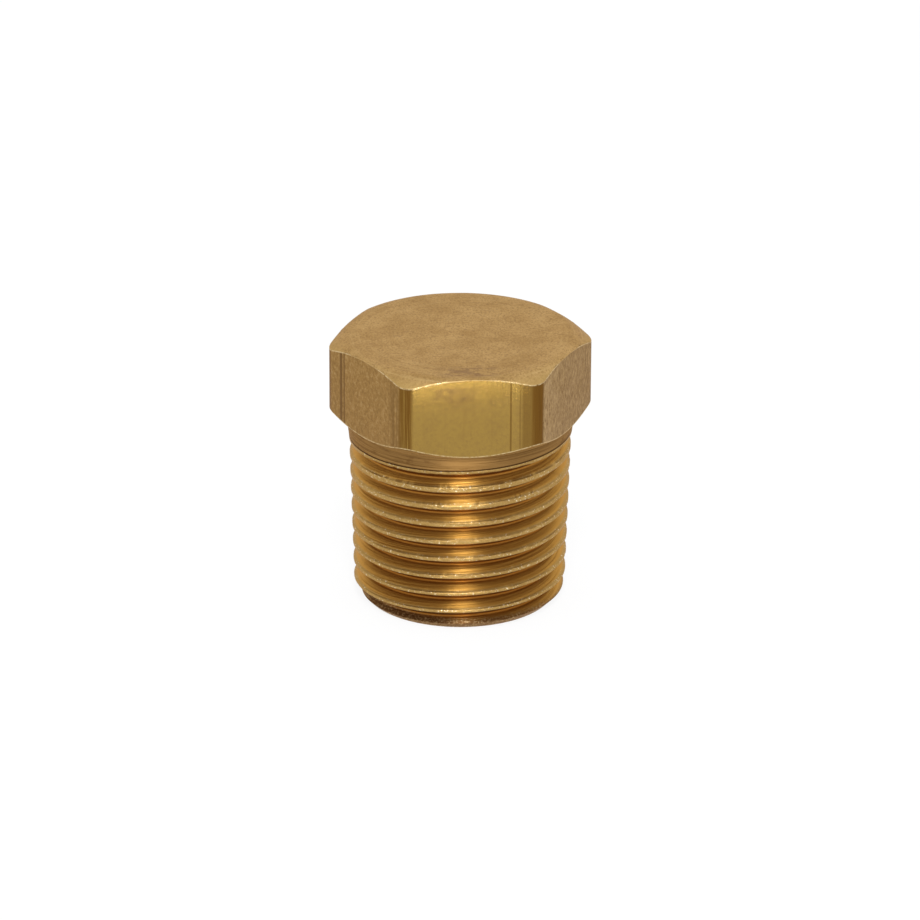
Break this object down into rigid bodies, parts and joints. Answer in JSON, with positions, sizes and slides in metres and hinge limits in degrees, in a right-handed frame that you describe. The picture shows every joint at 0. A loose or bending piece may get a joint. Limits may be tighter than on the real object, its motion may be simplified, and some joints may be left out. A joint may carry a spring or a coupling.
{
  "type": "hex head pipe plug",
  "caption": "Solid brass plug with a hexagon head, a plain collar and a tapered right-hand pipe thread, screwed in to close off a threaded port.",
  "frame": {"origin": "centre of the small end's flat face, which the plug stands on", "axes": "+Z along the plug's axis from the small end to the crown, -Y out of one wrench flat"},
  "size_m": [0.025, 0.0222, 0.0263],
  "materials": {
    "brass": "as turned and threaded, lightly tarnished"
  },
  "bodies": {
    "root": {"plug_body": "brass"}
  },
  "joints": []
}
